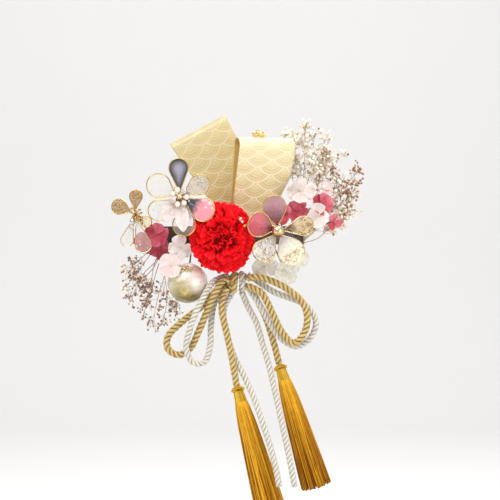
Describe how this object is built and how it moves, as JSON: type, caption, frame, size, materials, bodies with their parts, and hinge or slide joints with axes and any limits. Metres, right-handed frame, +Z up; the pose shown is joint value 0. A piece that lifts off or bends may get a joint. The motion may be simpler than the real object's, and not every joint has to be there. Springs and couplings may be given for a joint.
{
  "type": "bridal hairpin",
  "caption": "Floral bridal hairpin: red chrysanthemum, folded brocade ribbon loops, wire-and-film flowers, a cord bow and tassels on a bent bar with prongs.",
  "frame": {"origin": "on the back of the bar, midway between the two prongs, where it pins onto the back of a head", "axes": "+X to the viewer's right along the bar, +Y into the hair along the prongs, +Z up; the flowers face -Y"},
  "size_m": [0.1905, 0.1169, 0.2993],
  "materials": {
    "pin_steel": "satin",
    "mum_red": "matte",
    "brocade": "satin",
    "film_left": "gloss",
    "milky_petal": "satin",
    "gold_bead": "polished",
    "pearl": "gloss",
    "film_right": "gloss",
    "film_small": "gloss",
    "silver_bead": "polished",
    "clear_bead": "polished",
    "hydrangea_red": "matte",
    "hydrangea_white": "matte",
    "pale_petal": "matte",
    "gold_foil": "crumpled foil",
    "gypsophila_brown": "matte",
    "gypsophila_cream": "matte",
    "cord_gold": "satin",
    "cord_white": "satin",
    "tassel_gold": "satin"
  },
  "bodies": {
    "root": {"pin_frame": "pin_steel", "mum": "mum_red", "ribbon_loop_left": "brocade", "ribbon_loop_right": "brocade", "flower_left_petal_1": "film_left", "flower_left_petal_2": "film_left", "flower_left_petal_3": "film_left", "flower_left_petal_4": "film_left", "flower_left_petal_5": "film_left", "flower_left_petal_6": "film_left", "flower_left_inner_1": "milky_petal", "flower_left_inner_2": "milky_petal", "flower_left_inner_3": "milky_petal", "flower_left_bead": "gold_bead", "flower_right_bead": "gold_bead", "flower_left_pearls": "pearl", "flower_right_petal_1": "film_right", "flower_right_petal_2": "film_right", "flower_right_petal_3": "film_right", "flower_right_petal_4": "film_right", "flower_right_petal_5": "film_right", "flower_small_petal_1": "film_small", "flower_small_petal_2": "film_small", "flower_small_petal_3": "film_small", "flower_small_petal_4": "film_small", "flower_small_petal_5": "film_small", "flower_small_bead_1": "silver_bead", "flower_small_bead_2": "clear_bead", "hydrangea_left_red_1": "hydrangea_red", "hydrangea_left_red_2": "hydrangea_red", "hydrangea_left_red_3": "hydrangea_red", "hydrangea_right_red_1": "hydrangea_red", "hydrangea_right_red_2": "hydrangea_red", "hydrangea_right_red_3": "hydrangea_red", "hydrangea_right_red_4": "hydrangea_red", "hydrangea_left_white_1": "hydrangea_white", "hydrangea_left_white_2": "hydrangea_white", "hydrangea_right_white_1": "hydrangea_white", "hydrangea_right_white_2": "hydrangea_white", "hydrangea_right_white_3": "hydrangea_white", "pale_petals_1": "pale_petal", "pale_petals_2": "pale_petal", "pale_petals_3": "pale_petal", "gold_ball": "gold_foil", "gold_leaf": "gold_foil", "gypsophila_left": "gypsophila_brown", "gypsophila_right": "gypsophila_cream", "knot_gold": "cord_gold", "gold_loop_left": "cord_gold", "gold_loop_right": "cord_gold", "gold_tail_left": "cord_gold", "gold_tail_right": "cord_gold", "knot_white": "cord_white", "white_loop_left": "cord_white", "white_loop_right": "cord_white", "white_tail_left": "cord_white", "white_tail_right": "cord_white", "tassel_left": "tassel_gold", "tassel_right": "tassel_gold"}
  },
  "joints": []
}
